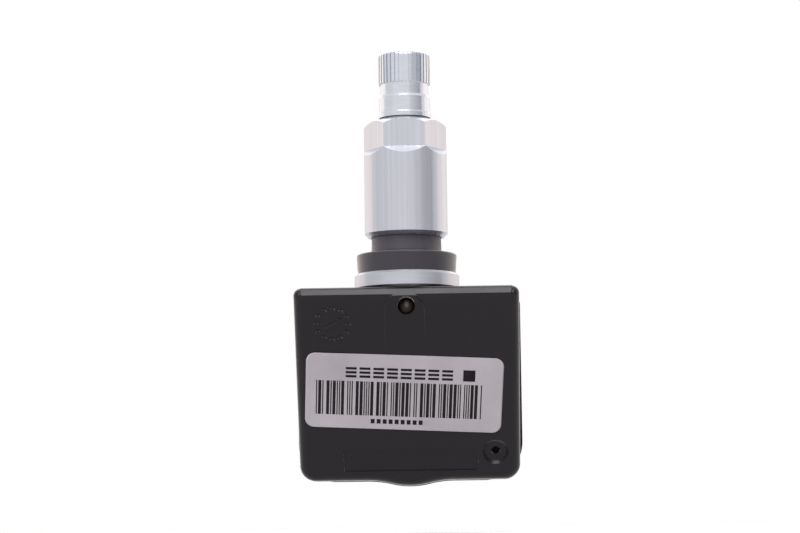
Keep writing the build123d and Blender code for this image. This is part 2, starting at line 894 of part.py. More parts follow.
# Positive tab, flat between the cell's back and the board
cell_crown = cell_z + cell_d / 2
with BuildPart() as positive_tab:
    with BuildSketch(front_view(board_face)):
        with Locations((0, cell_crown + (tab_foot - tab_lap) / 2)):
            Rectangle(tab_w, tab_foot + tab_lap)
    extrude(amount=tab_t)
positive_tab.part.label = "positive_tab"
export_step(positive_tab.part, "parts/positive_tab.step")

# Negative tab, bent from the cell's front face round its edge to the board
tab_inner_x = minus_tab_x - minus_tab_w / 2
tab_bend = cell_z + math.sqrt((cell_d / 2) ** 2 - tab_inner_x**2) + cell_gap + tab_t
tab_low = cell_z + math.sqrt((cell_step_d / 2) ** 2 - minus_tab_x**2) - tab_lap
with BuildPart() as negative_tab:
    strip = profile(
        (cell_front, tab_low),
        (cell_front - tab_t, tab_low),
        (cell_front - tab_t, tab_bend),
        (board_face - tab_t, tab_bend),
        (board_face - tab_t, tab_bend + tab_foot),
        (board_face, tab_bend + tab_foot),
        (board_face, tab_bend - tab_t),
        (cell_front, tab_bend - tab_t),
    )
    with Locations((minus_tab_x, 0, 0)):
        add(extrude(strip, amount=minus_tab_w / 2, both=True, mode=Mode.PRIVATE))
negative_tab.part.label = "negative_tab"
export_step(negative_tab.part, "parts/negative_tab.step")

# Pressure sensor with its vent towards the port
with BuildPart() as pressure_sensor:
    with BuildSketch(front_view(board_face)):
        with Locations((port_x, port_boss_z)):
            Rectangle(sensor_w, sensor_w)
    extrude(amount=sensor_t)
    with BuildSketch(front_view(sensor_front)):
        with Locations((port_x, port_boss_z)):
            Circle(sensor_vent_d / 2)
    extrude(amount=-sensor_vent_depth, mode=Mode.SUBTRACT)
pressure_sensor.part.label = "pressure_sensor"
export_step(pressure_sensor.part, "parts/pressure_sensor.step")

# Gasket between the port's boss and the sensor
with BuildPart() as port_gasket:
    with BuildSketch(front_view(sensor_front)):
        with Locations((port_x, port_boss_z)):
            Circle(gasket_d / 2)
            Circle(gasket_bore / 2, mode=Mode.SUBTRACT)
    extrude(amount=gasket_h)
port_gasket.part.label = "port_gasket"
export_step(port_gasket.part, "parts/port_gasket.step")

# Radio chip
with BuildPart() as radio_chip:
    with BuildSketch(front_view(board_face)):
        with Locations((radio_x, chip_top - radio_l / 2)):
            Rectangle(radio_w, radio_l)
    extrude(amount=radio_t)
radio_chip.part.label = "radio_chip"
export_step(radio_chip.part, "parts/radio_chip.step")

# Crystal in a rounded can
with BuildPart() as crystal_can:
    with BuildSketch(front_view(board_face)):
        with Locations((crystal_x, chip_top - crystal_l / 2)):
            RectangleRounded(crystal_w, crystal_l, crystal_corner)
    extrude(amount=crystal_t)
crystal_can.part.label = "crystal_can"
export_step(crystal_can.part, "parts/crystal_can.step")

# Row of chip capacitors
with BuildPart() as capacitors:
    row = [(capacitor_x, capacitor_z - i * capacitor_pitch) for i in range(capacitor_count)]
    with BuildSketch(front_view(board_face)):
        with Locations(*row):
            Rectangle(capacitor_w, capacitor_l)
    extrude(amount=capacitor_t)
capacitors.part.label = "capacitors"
export_step(capacitors.part, "parts/capacitors.step")

# Motion switch, a small round can
with BuildPart() as motion_switch:
    with BuildSketch(front_view(board_face)):
        with Locations((switch_x, switch_z)):
            Circle(switch_d / 2)
    extrude(amount=switch_h)
    fillet(motion_switch.edges().group_by(Axis.Y)[0], switch_round)
motion_switch.part.label = "motion_switch"
export_step(motion_switch.part, "parts/motion_switch.step")

# Antenna, a wire loop that stands on the board
with BuildPart() as antenna_wire:
    loop_front = board_face - antenna_rise
    loop_top = antenna_low_z + antenna_span
    with BuildLine() as loop:
        FilletPolyline(
            (antenna_x, board_face, loop_top),
            (antenna_x, loop_front, loop_top),
            (antenna_x, loop_front, antenna_low_z),
            (antenna_x, board_face, antenna_low_z),
            radius=antenna_bend,
        )
    with BuildSketch(Plane(origin=loop.line @ 0, z_dir=loop.line % 0)):
        Circle(antenna_wire_d / 2)
    sweep()
antenna_wire.part.label = "antenna_wire"
export_step(antenna_wire.part, "parts/antenna_wire.step")

# Label on the sloping face
with BuildPart() as label:
    with BuildSketch(on_face(label_x, label_s, label_turn)):
        RectangleRounded(label_w, label_h, label_corner)
    extrude(amount=label_t)
label.part.label = "label"
export_step(label.part, "parts/label.step")
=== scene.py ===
"""Looks of a tyre pressure sensor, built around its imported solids.

The solids carry the shape. This file adds the screw threads, the machined nut, the core's spring,
the label with its printed bars, a finish for every piece, and a white studio with the camera.
"""

import math

import bmesh
import bpy
import numpy as np
from bpy.props import FloatProperty, FloatVectorProperty, IntProperty, PointerProperty
from mathutils import Matrix, Vector


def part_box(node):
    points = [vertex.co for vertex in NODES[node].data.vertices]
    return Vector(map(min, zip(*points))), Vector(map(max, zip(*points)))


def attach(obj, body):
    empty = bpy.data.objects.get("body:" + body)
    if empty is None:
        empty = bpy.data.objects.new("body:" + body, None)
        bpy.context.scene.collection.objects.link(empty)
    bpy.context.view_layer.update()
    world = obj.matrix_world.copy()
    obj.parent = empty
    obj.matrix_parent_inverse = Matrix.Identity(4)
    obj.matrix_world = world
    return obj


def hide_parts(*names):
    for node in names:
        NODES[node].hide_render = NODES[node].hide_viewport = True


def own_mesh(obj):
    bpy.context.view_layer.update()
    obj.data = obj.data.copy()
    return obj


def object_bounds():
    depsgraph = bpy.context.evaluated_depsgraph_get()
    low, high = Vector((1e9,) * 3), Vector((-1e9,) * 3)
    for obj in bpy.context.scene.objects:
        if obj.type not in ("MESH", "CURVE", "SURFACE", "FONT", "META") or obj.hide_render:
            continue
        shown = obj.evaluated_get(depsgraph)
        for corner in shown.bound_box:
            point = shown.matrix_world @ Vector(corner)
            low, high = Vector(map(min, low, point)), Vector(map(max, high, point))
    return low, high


bl_info = {
    "name": "Tyre pressure sensor",
    "version": (1, 0, 0),
    "blender": (4, 5, 0),
    "location": "View3D > Sidebar > Sensor",
    "description": "Dresses the solids of a tyre pressure sensor and sets up its studio",
    "category": "Object",
}

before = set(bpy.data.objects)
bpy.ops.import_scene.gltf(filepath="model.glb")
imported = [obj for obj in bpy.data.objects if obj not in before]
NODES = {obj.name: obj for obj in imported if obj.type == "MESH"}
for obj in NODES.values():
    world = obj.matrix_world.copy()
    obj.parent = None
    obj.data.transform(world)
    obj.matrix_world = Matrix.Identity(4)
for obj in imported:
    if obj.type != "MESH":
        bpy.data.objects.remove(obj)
CAD_BOX = [list(corner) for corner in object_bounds()]

MM = 0.001
TURN = 2.0 * math.pi
IMAGE_WIDTH = 800  # pixels
WELD = 1e-7  # points nearer than this are one point
SLIVER = 1e-8  # edges shorter than this are left out

# Millimetres
PIN_DROP = 3.18  # cross pin below the top of the case
CHAMBER_DEPTH = 24.0  # floor of the core's chamber below the stem's end
STOP_GAP = 0.05  # between the cap's lip and the shoulder under it
RING_ROOM = 1.55  # for the thrust ring, over the rubber neck
FLAT_LENGTH = 4.69  # of the nut's flats


def heights(node):
    """Lowest and highest point of a solid, in millimetres."""
    low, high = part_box(node)
    return low[2] / MM, high[2] / MM


STEM_LOW, STEM_HIGH = heights("valve_stem")
NUT_LOW, NUT_HIGH = heights("collar_nut")
RUBBER_LOW, RUBBER_HIGH = heights("rubber_grommet")
CAP_LOW = heights("valve_cap")[0]
CASE_HIGH = heights("front_housing")[1]


def length(name, description, millimetres):
    """A length setting, given here in millimetres and kept in metres."""
    return FloatProperty(
        name=name,
        description=description,
        default=millimetres * MM,
        precision=5,
        unit="LENGTH",
        subtype="DISTANCE",
    )


def angle(name, description, degrees):
    """An angle setting, given here in degrees and kept in radians."""
    return FloatProperty(
        name=name, description=description, default=math.radians(degrees), subtype="ANGLE"
    )


def colour(name, description, red, green, blue):
    """A linear colour setting."""
    return FloatVectorProperty(
        name=name,
        description=description,
        default=(red, green, blue, 1.0),
        size=4,
        min=0.0,
        max=1.0,
        subtype="COLOR",
    )


# Settings


class StemSizes(bpy.types.PropertyGroup):
    """Sizes of the valve stem and its two threads."""

    foot_radius: length("Foot radius", "Spigot that stands in the case", 3.5)
    foot_end: length("Foot end", "Height of the spigot's lower end", STEM_LOW)
    flange_radius: length("Flange radius", "Bright flange under the rubber", 8.75)
    flange_low: length("Flange underside", "Height of the flange's underside", CASE_HIGH)
    flange_high: length("Flange top", "Height of the flange's top", RUBBER_LOW)
    shank_radius: length("Shank radius", "Plain part of the threaded shank", 4.8)
    shank_bevel: length("Shank bevel", "Bevel at the shank's upper end", 0.6)
    tip_radius: length("Tip radius", "Thin end that takes the cap", 3.6)
    tip_low: length("Tip foot", "Height of the shoulder under the tip", CAP_LOW - STOP_GAP)
    tip_high: length("Tip top", "Height of the stem's end", STEM_HIGH)
    shank_pitch: length("Shank pitch", "Rise of the shank's thread in a turn", 1.0)
    tip_pitch: length("Tip pitch", "Rise of the tip's thread in a turn", 0.794)
    columns: IntProperty(name="Columns", description="Steps round the stem", default=96, min=24)


class NutSizes(bpy.types.PropertyGroup):
    """Sizes of the collar nut."""

    radius: length("Sleeve radius", "Outside of the round sleeve", 6.95)
    half_flats: length("Half across flats", "Axis to a flat", 6.0)
    low: length("Foot", "Height of the nut's foot", NUT_LOW)
    high: length("Top", "Height of the nut's top", NUT_HIGH)
    flats_low: length("Flats start", "Height where the flats are full", NUT_HIGH - FLAT_LENGTH)
    bore: length("Bore radius", "Threaded bore", 4.85)
    recess: length("Recess radius", "Recess over the rubber neck", 5.95)
    recess_high: length("Recess top", "Height of the recess's roof", RUBBER_HIGH + RING_ROOM)
    top_slope: angle("Top slope", "Slope of the turned cone", 38.0)
    runout_slope: angle("Run-out slope", "Slope at the lower end of each flat", 50.0)
    mouth: length("Mouth bevel", "Bevel at the bore's mouth", 0.25)
    foot_bevel: length("Foot bevel", "Bevel round the foot", 0.6)
    edge: length("Edge break", "Width of the broken edges", 0.07)
    columns: IntProperty(name="Columns", description="Steps on each flat", default=24, min=6)


class SpringSizes(bpy.types.PropertyGroup):
    """Sizes of the valve core's return spring."""

    wire: length("Wire radius", "Half the wire's thickness", 0.18)
    coil: length("Coil radius", "Axis to the wire's middle", 1.3)
    pitch: length("Pitch", "Rise of the coil in a turn", 1.05)
    seat: length("Seat", "Height of the shoulder that it stands on", STEM_HIGH - CHAMBER_DEPTH)
    free: length("Height", "Shoulder to the cup at rest", 8.25)
    press: length("Press", "Travel of the core's pin", 1.5)
    columns: IntProperty(name="Columns", description="Steps round the wire", default=12, min=6)


class LabelSizes(bpy.types.PropertyGroup):
    """Sizes of the label film and its print."""

    width: length("Width", "Label along its long side", 32.7)
    height: length("Height", "Label along its short side", 13.35)
    corner: length("Corner radius", "Rounding of the corners", 1.5)
    thickness: length("Thickness", "Film thickness", 0.12)
    wave: length("Wave", "Height of the slow waves in the film", 0.035)
    lift: length("Lift", "How far the upper left corner stands off", 0.14)
    ink: length("Ink", "Thickness of the print", 0.012)
    slope: angle("Slope", "Lean of the case's face", 26.0)
    turn: angle("Turn", "How far the label sits crooked", -3.0)
    groups: IntProperty(name="Groups", description="Groups of five printed bars", default=10, min=2)
    wide: FloatProperty(name="Wide bar", description="Wide bar over narrow bar", default=2.7)
    seed: IntProperty(name="Seed", description="Order of the bars' widths", default=11)


class Finishes(bpy.types.PropertyGroup):
    """Base colours of the finishes."""

    plastic: colour("Case plastic", "Black moulded case", 0.0045, 0.0028, 0.0050)
    rubber: colour("Grommet rubber", "Dull blue-black rubber", 0.020, 0.017, 0.025)
    # Painted light: the paler tone painted on the lit rubber neck.
    painted_neck_light: colour("Painted neck light", "Painted light on the rubber neck", 0.046, 0.041, 0.056)
    seal: colour("Seal rubber", "Small sealing rings", 0.016, 0.016, 0.017)
    aluminium: colour("Turned aluminium", "Nut and stem", 0.525, 0.532, 0.585)
    bright: colour("Bright aluminium", "Dust cap", 0.63, 0.65, 0.71)
    film: colour("Label film", "Pale satin label", 0.41, 0.377, 0.41)
    ink: colour("Label print", "Printed bars", 0.013, 0.010, 0.013)
    steel: colour("Steel", "Ring and spring", 0.56, 0.55, 0.53)
    browned: colour("Browned steel", "Cross pin", 0.018, 0.0135, 0.011)
    # Painted highlight: the pale tone of a glint painted on the cross pin's end.
    painted_glint: colour("Painted glint", "Painted glint on the pin's end", 0.12, 0.105, 0.095)
    brass: colour("Brass", "Valve core", 0.66, 0.47, 0.20)
    nickel: colour("Nickel", "Battery tabs and cans", 0.63, 0.60, 0.55)
    board: colour("Board laminate", "Green circuit board", 0.012, 0.085, 0.035)
    chip: colour("Chip plastic", "Moulded chips", 0.014, 0.014, 0.015)
    ceramic: colour("Chip ceramic", "Ceramic parts", 0.42, 0.31, 0.20)
    copper: colour("Copper", "Antenna wire", 0.72, 0.33, 0.17)


class StageSizes(bpy.types.PropertyGroup):
    """Camera, floor and lamps."""

    distance: length("Camera distance", "Camera to its aim", 400.0)
    elevation: angle("Elevation", "Camera above the aim", -6.1)
    azimuth: angle("Azimuth", "Camera to the right of the aim", 1.22)
    roll: angle("Roll", "Lean of the picture", -0.77)
    aim: length("Aim height", "Height that the camera looks at", -1.93)
    focal: FloatProperty(name="Focal length", description="In picture pixels", default=2388.0)
    offset: FloatProperty(name="Offset", description="Axis right of middle, pixels", default=6.73)
    ambient: FloatProperty(name="Ambient", description="World light on the part", default=0.28)
    floor_drop: length("Floor drop", "Floor below the part", 8.0)
    floor_glow: FloatProperty(name="Floor glow", description="White seen in the floor", default=0.5)


# Meshes


def link_mesh(name, mesh):
    """Puts a mesh into the scene as an object."""
    piece = bpy.data.objects.new(name, mesh)
    bpy.context.scene.collection.objects.link(piece)
    return piece


def smooth(mesh, crease):
    """Lets faces smooth into each other where they meet at less than the crease angle, in degrees."""
    mesh.shade_smooth()
    mesh.set_sharp_from_angle(angle=math.radians(crease))


def put_mesh(name, points, faces, crease):
    """Makes an object of points and faces, closes its seams and poles, and turns its faces outwards."""
    mesh = bpy.data.meshes.new(name)
    mesh.from_pydata(points.reshape(-1, 3), [], faces.reshape(-1, 4))
    work = bmesh.new()
    work.from_mesh(mesh)
    bmesh.ops.remove_doubles(work, verts=work.verts, dist=WELD)
    bmesh.ops.dissolve_degenerate(work, edges=work.edges, dist=SLIVER)
    bmesh.ops.recalc_face_normals(work, faces=work.faces)
    work.to_mesh(mesh)
    work.free()
    smooth(mesh, crease)
    return link_mesh(name, mesh)


def grid_faces(rows, columns, ring=True):
    """Four-sided faces of a grid of rows, whose columns close into a ring or stay open."""
    row = np.arange(rows - 1)[:, None] * columns
    here = np.arange(columns if ring else columns - 1)[None, :]
    there = (here + 1) % columns
    corners = (row + here, row + there, row + columns + there, row + columns + here)
    return np.stack(corners, axis=-1)


def turned(radius, height, theta):
    """Points of a turned surface: radius times the cosine and sine of theta, at each height."""
    radius, height, theta = np.broadcast_arrays(radius, height, theta)
    return np.stack((radius * np.cos(theta), radius * np.sin(theta), height), axis=-1)


def screw_wave(height, theta, pitch):
    """Thread form from 0 at the root to 1 at the crest.

    A triangle wave of height over pitch less theta over a full turn, clipped to narrow flats, so
    that its crests climb one pitch a turn as a right-hand screw.
    """
    turns = height / pitch - theta / TURN
    triangle = np.abs(2.0 * (turns - np.floor(turns)) - 1.0)
    flat = 0.125
    return np.clip((1.0 + 2.0 * flat) * triangle - flat, 0.0, 1.0)


def threaded(radius, low, high, pitch, depth, theta):
    """Rows of a threaded rod: the radius plus a sliver at the crests, less the depth at the roots.

    The thread fades in and out over one pitch at both ends.
    """
    rows_per_pitch = 12
    crest = 0.02 * MM
    height = np.linspace(low, high, int((high - low) / pitch * rows_per_pitch))[:, None]
    wave = screw_wave(height, theta, pitch)
    fade = np.clip((height - low) / pitch, 0.0, 1.0) * np.clip((high - height) / pitch, 0.0, 1.0)
    return radius + fade * (crest * wave - depth * (1.0 - wave)), height + 0.0 * theta


def cut_away(piece, cutters):
    """Takes the cutters out of the piece for good, and removes them."""
    for cutter in cutters:
        cut = piece.modifiers.new("cut", "BOOLEAN")
        cut.operation = "DIFFERENCE"
        cut.solver = "EXACT"
        cut.object = cutter
    bpy.context.view_layer.update()
    graph = bpy.context.evaluated_depsgraph_get()
    cut_mesh = bpy.data.meshes.new_from_object(piece.evaluated_get(graph))
    whole = piece.data
    piece.modifiers.clear()
    piece.data = cut_mesh
    cut_mesh.name = piece.name
    bpy.data.meshes.remove(whole)
    for cutter in cutters:
        bpy.data.objects.remove(cutter)


def cross_rod(name, radius, height, start, end):
    """A closed rod along Y at a height, from start to end: a circle carried along a line."""
    columns = 48
    theta = np.linspace(0.0, TURN, columns, endpoint=False)[None, :]
    along = np.array((start, start, end, end))[:, None]
    across = np.array((0.0, radius, radius, 0.0))[:, None]
    axes = (across * np.cos(theta), along, height + across * np.sin(theta))
    points = np.stack(np.broadcast_arrays(*axes), axis=-1)
    return put_mesh(name, points, grid_faces(len(along), columns), crease=40.0)


def thicken(piece, thickness):
    """Gives a sheet a wall behind the side that it shows."""
    wall = piece.modifiers.new("wall", "SOLIDIFY")
    wall.thickness = thickness
    wall.offset = -1.0
    return piece


# Shader nodes and finishes


def place(tree, kind, sockets=None, **settings):
    """Adds one node, sets its options, and fills its sockets with values or links."""
    made = tree.nodes.new(kind)
    for option, value in settings.items():
        setattr(made, option, value)
    for socket, value in (sockets or {}).items():
        if isinstance(value, bpy.types.NodeSocket):
            tree.links.new(value, made.inputs[socket])
        else:
            made.inputs[socket].default_value = value
    return made


def reckon(tree, operation, first, second=0.0):
    """The result of one sum on two values."""
    return place(tree, "ShaderNodeMath", {0: first, 1: second}, operation=operation).outputs[0]


def vector_sum(tree, operation, sockets):
    """One sum on vectors, as a node."""
    return place(tree, "ShaderNodeVectorMath", sockets, operation=operation)


def spread(tree, value, low, high):
    """A value from 0 to 1 carried to the range from low to high."""
    sockets = {"Value": value, "To Min": low, "To Max": high}
    return place(tree, "ShaderNodeMapRange", sockets).outputs[0]


def noise(tree, vector, scale, detail, roughness):
    """Smooth noise from 0 to 1 at a scale in cycles for each metre."""
    sockets = {"Vector": vector, "Scale": scale, "Detail": detail, "Roughness": roughness}
    return place(tree, "ShaderNodeTexNoise", sockets).outputs[0]


def tint(tree, factor, first, second):
    """A colour between two colours."""
    # The Mix node has like-named sockets for each kind of value, so its colours go by number.
    sockets = {0: factor, 6: first, 7: second}
    return place(tree, "ShaderNodeMix", sockets, data_type="RGBA").outputs[2]


def shade(base, share):
    """A colour made darker or lighter by a share."""
    return tuple(min(1.0, part * share) for part in base[:3]) + (1.0,)


def effect_group(name, values, outputs):
    """An empty shader group that takes a vector and the named values."""
    tree = bpy.data.node_groups.new(name, "ShaderNodeTree")
    tree.interface.new_socket("Vector", in_out="INPUT", socket_type="NodeSocketVector")
    for label in values:
        tree.interface.new_socket(label, in_out="INPUT", socket_type="NodeSocketFloat")
    for label in outputs:
        tree.interface.new_socket(label, in_out="OUTPUT", socket_type="NodeSocketFloat")
    return tree, tree.nodes.new("NodeGroupInput"), tree.nodes.new("NodeGroupOutput")


def moulded_grain():
    """Effect: the fine pitted skin of a moulded surface, and its slow cloudiness."""
    tree, taken, given = effect_group("moulded_grain", ("Scale",), ("Height", "Mottle"))
    vector, scale = taken.outputs["Vector"], taken.outputs["Scale"]
    pit_depth = 0.6
    cloud_share = 0.045
    fine = noise(tree, vector, scale, detail=3.0, roughness=0.6)
    cells = place(tree, "ShaderNodeTexVoronoi", {"Vector": vector, "Scale": scale})
    pits = reckon(tree, "MULTIPLY", cells.outputs["Distance"], pit_depth)
    cloud_scale = reckon(tree, "MULTIPLY", scale, cloud_share)
    slow = noise(tree, vector, cloud_scale, detail=4.0, roughness=0.55)
    tree.links.new(reckon(tree, "ADD", fine, pits), given.inputs["Height"])
    tree.links.new(slow, given.inputs["Mottle"])


def tool_lines():
    """Effect: lines left by a tool on a turned piece.

    Noise on the direction from the axis and on the height plus the radius. A large Around with a
    small Along gives lines up the piece, and the other way round gives turning marks.
    """
    tree, taken, given = effect_group("tool_lines", ("Around", "Along"), ("Height", "Streak"))
    vector = taken.outputs["Vector"]
    flat = vector_sum(tree, "MULTIPLY", {0: vector, 1: (1.0, 1.0, 0.0)}).outputs[0]
    out = vector_sum(tree, "LENGTH", {0: flat}).outputs["Value"]
    ray = vector_sum(tree, "NORMALIZE", {0: flat}).outputs[0]
    around = vector_sum(tree, "SCALE", {0: ray, "Scale": taken.outputs["Around"]}).outputs[0]
    parts = place(tree, "ShaderNodeSeparateXYZ", {0: vector})
    rise = reckon(tree, "ADD", parts.outputs["Z"], out)
    along = reckon(tree, "MULTIPLY", rise, taken.outputs["Along"])
    lift = place(tree, "ShaderNodeCombineXYZ", {"Z": along}).outputs[0]
    spot = vector_sum(tree, "ADD", {0: around, 1: lift}).outputs[0]
    fine = noise(tree, spot, 1.0, detail=3.0, roughness=0.6)
    streak = noise(tree, spot, 0.31, detail=2.0, roughness=0.5)
    tree.links.new(fine, given.inputs["Height"])
    tree.links.new(streak, given.inputs["Streak"])


def use_group(tree, group, vector, **values):
    """Places a group with its own values and returns the node."""
    made = place(tree, "ShaderNodeGroup", node_tree=group)
    tree.links.new(vector, made.inputs["Vector"])
    for label, value in values.items():
        made.inputs[label].default_value = value
    return made


def bare_material(name):
    """A new material without nodes, and its node tree."""
    material = bpy.data.materials.new(name)
    material.use_nodes = True
    material.node_tree.nodes.clear()
    return material, material.node_tree


def start_finish(name):
    """A new material with its Principled shader, and the piece's Object coordinates."""
    material, tree = bare_material(name)
    shader = place(tree, "ShaderNodeBsdfPrincipled")
    place(tree, "ShaderNodeOutputMaterial", {"Surface": shader.outputs[0]})
    vector = place(tree, "ShaderNodeTexCoord").outputs["Object"]
    return material, tree, shader, vector


def set_bump(tree, shader, height, distance):
    """Feeds a height to the shader's normal."""
    sockets = {"Height": height, "Distance": distance, "Strength": 1.0}
    tree.links.new(place(tree, "ShaderNodeBump", sockets).outputs[0], shader.inputs["Normal"])


def moulded_finish(name, base, scale, depth, gloss, shine=0.5, sheen=0.0, nap=0.3):
    """Moulded plastic or rubber: pitted skin, cloudy tone and a gloss that drifts with it.

    The sheen is the pale haze that dust and handling leave on edges, and the nap is its spread.
    """
    material, tree, shader, vector = start_finish(name)
    dark, pale, drift = 0.78, 1.24, 0.07
    dust = (1.0, 0.93, 0.91, 1.0)
    skin = use_group(tree, bpy.data.node_groups["moulded_grain"], vector, Scale=scale)
    mottle = skin.outputs["Mottle"]
    tone = tint(tree, mottle, shade(base, dark), shade(base, pale))
    tree.links.new(tone, shader.inputs["Base Color"])
    rough = spread(tree, mottle, gloss - drift, gloss + drift)
    tree.links.new(rough, shader.inputs["Roughness"])
    shader.inputs["Specular IOR Level"].default_value = shine
    shader.inputs["Sheen Weight"].default_value = sheen
    shader.inputs["Sheen Roughness"].default_value = nap
    shader.inputs["Sheen Tint"].default_value = dust
    set_bump(tree, shader, skin.outputs["Height"], depth)
    return material


def metal_finish(name, base, around, along, depth, gloss, contrast=0.07):
    """Machined metal: tool lines in the surface, and streaks in its tone and gloss."""
    material, tree, shader, vector = start_finish(name)
    drift = 0.06
    lines = bpy.data.node_groups["tool_lines"]
    marks = use_group(tree, lines, vector, Around=around, Along=along)
    streak = marks.outputs["Streak"]
    tone = tint(tree, streak, shade(base, 1.0 - contrast), shade(base, 1.0 + contrast))
    tree.links.new(tone, shader.inputs["Base Color"])
    rough = spread(tree, streak, gloss - drift, gloss + drift)
    tree.links.new(rough, shader.inputs["Roughness"])
    shader.inputs["Metallic"].default_value = 1.0
    set_bump(tree, shader, marks.outputs["Height"], depth)
    return material


def wash(tree, share, tone):
    """Turns a finish's base colour towards another tone by a share from 0 to 1."""
    shader = tree.nodes["Principled BSDF"]
    skin = shader.inputs["Base Color"].links[0].from_socket
    tree.links.new(tint(tree, share, skin, tuple(tone)), shader.inputs["Base Color"])


def dress(piece, material):
    """Gives a piece one finish in place of any it has."""
    piece.data.materials.clear()
    piece.data.materials.append(material)


# Operators


class SENSOR_OT_stem(bpy.types.Operator):
    """Turned valve stem with both screw threads, in place of the plain solid"""

    bl_idname = "sensor.stem"
    bl_label = "Valve stem"

    def execute(self, context):
        size = context.scene.sensor_stem
        crease = 32.0
        # Painted shade: the stem takes a darker copy of the nut's aluminium, standing in for the darker
        # reflection on its flange.
        painted_shade_share = 0.92
        theta = np.linspace(0.0, TURN, size.columns, endpoint=False)[None, :]
        outlet_height = (size.flange_low + size.flange_high) / 2.0
        radius, height = self.outline(size, outlet_height, theta)
        faces = grid_faces(len(radius), theta.size)
        stem = put_mesh("threaded_stem", turned(radius, height, theta), faces, crease)
        cut_away(stem, self.holes(size, outlet_height))
        smooth(stem.data, crease)
        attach(stem, "sensor")
        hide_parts("valve_stem")
        base = shade(context.scene.sensor_finish.aluminium, painted_shade_share)
        finish = metal_finish(
            "turned_stem", base, around=3.0, along=9000.0, depth=4e-6, gloss=0.3
        )
        dress(stem, finish)
        return {"FINISHED"}

    def outline(self, size, outlet_height, theta):
        """Radius and height of each row: up the outside with both threads, then down the bores."""
        foot_bevel, rim_bevel, tip_bevel = 0.5 * MM, 0.4 * MM, 0.4 * MM
        groove_floor = 2.53 * MM
        groove_low, groove_high = size.flange_low - 1.43 * MM, size.flange_low - 0.37 * MM
        core_bore, chamber, air_bore = 2.55 * MM, 1.95 * MM, 1.2 * MM
        seat_high, seat_low = size.tip_high - 5.0 * MM, size.tip_high - 6.6 * MM
        chamber_low = size.tip_high - CHAMBER_DEPTH * MM
        air_low = outlet_height - air_bore
        shank_depth, tip_depth = 0.46 * MM, 0.36 * MM
        foot, rim = size.foot_radius, size.flange_radius
        shank, tip = size.shank_radius, size.tip_radius
        below = np.array(
            (
                (0.0, size.foot_end),
                (foot - foot_bevel, size.foot_end),
                (foot, size.foot_end + foot_bevel),
                (foot, groove_low),
                (groove_floor, groove_low),
                (groove_floor, groove_high),
                (foot, groove_high),
                (foot, size.flange_low),
                (rim - rim_bevel, size.flange_low),
                (rim, size.flange_low + rim_bevel),
                (rim, size.flange_high - rim_bevel),
                (rim - rim_bevel, size.flange_high),
                (shank, size.flange_high),
            )
        )
        inside = np.array(
            (
                (tip - tip_bevel, size.tip_high),
                (core_bore, size.tip_high),
                (core_bore, seat_high),
                (chamber, seat_low),
                (chamber, chamber_low),
                (air_bore, chamber_low),
                (air_bore, air_low),
                (0.0, air_low),
            )
        )
        shank_low, shank_high = RUBBER_HIGH * MM, size.tip_low - size.shank_bevel
        tip_low, tip_high = size.tip_low, size.tip_high - tip_bevel
        shank_rows = threaded(shank, shank_low, shank_high, size.shank_pitch, shank_depth, theta)
        tip_rows = threaded(tip, tip_low, tip_high, size.tip_pitch, tip_depth, theta)
        shoulder = np.array(((shank - size.shank_bevel, size.tip_low),))
        level = 0.0 * theta
        return (
            np.concatenate(
                (
                    below[:, k, None] + level,
                    shank_rows[k],
                    shoulder[:, k, None] + level,
                    tip_rows[k],
                    inside[:, k, None] + level,
                )
            )
            for k in range(2)
        )

    def holes(self, size, outlet_height):
        """Cutters for the cross pin's hole, through the foot, and the air outlet, out to the rear."""
        pin_radius, pin_reach = 1.43 * MM, 6.0 * MM
        outlet_radius, outlet_reach = 0.8 * MM, 12.0 * MM
        pin_height = size.flange_low - PIN_DROP * MM
        return (
            cross_rod("pin_hole", pin_radius, pin_height, -pin_reach, pin_reach),
            cross_rod("outlet", outlet_radius, outlet_height, 0.0, outlet_reach),
        )


class SENSOR_OT_spring(bpy.types.Operator):
    """Return spring, a coiled round wire in place of the stiff solid"""

    bl_idname = "sensor.spring"
    bl_label = "Core spring"

    def execute(self, context):
        size = context.scene.sensor_spring
        spring = self.coil(size)
        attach(spring, "sensor")
        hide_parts("core_spring")
        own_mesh(spring)
        base = context.scene.sensor_finish.steel
        finish = metal_finish(
            "drawn_steel", base, around=4.0, along=8000.0, depth=3e-6, gloss=0.28
        )
        dress(spring, finish)
        return {"FINISHED"}

    def coil(self, size):
        """A round wire along a screw line, drawn to a point at both ends.

        The wire's middle is the coil radius along a ray that turns with the height over the pitch.
        Each point is off the middle by the wire's radius times the cosine of its own turn along
        the ray, and times the sine of it upwards.
        """
        rows = 321
        low, high = (corner[2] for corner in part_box("core_spring"))
        share = np.linspace(0.0, 1.0, rows)[:, None]
        height = low + size.wire + share * (high - low - 2.0 * size.wire)
        theta = TURN * (height - height[0]) / size.pitch
        about = np.linspace(0.0, TURN, size.columns, endpoint=False)[None, :]
        wire = size.wire * np.where((share > 0.0) & (share < 1.0), 1.0, 0.0)
        points = turned(size.coil + wire * np.cos(about), height + wire * np.sin(about), theta)
        return put_mesh("return_spring", points, grid_faces(rows, size.columns), crease=60.0)


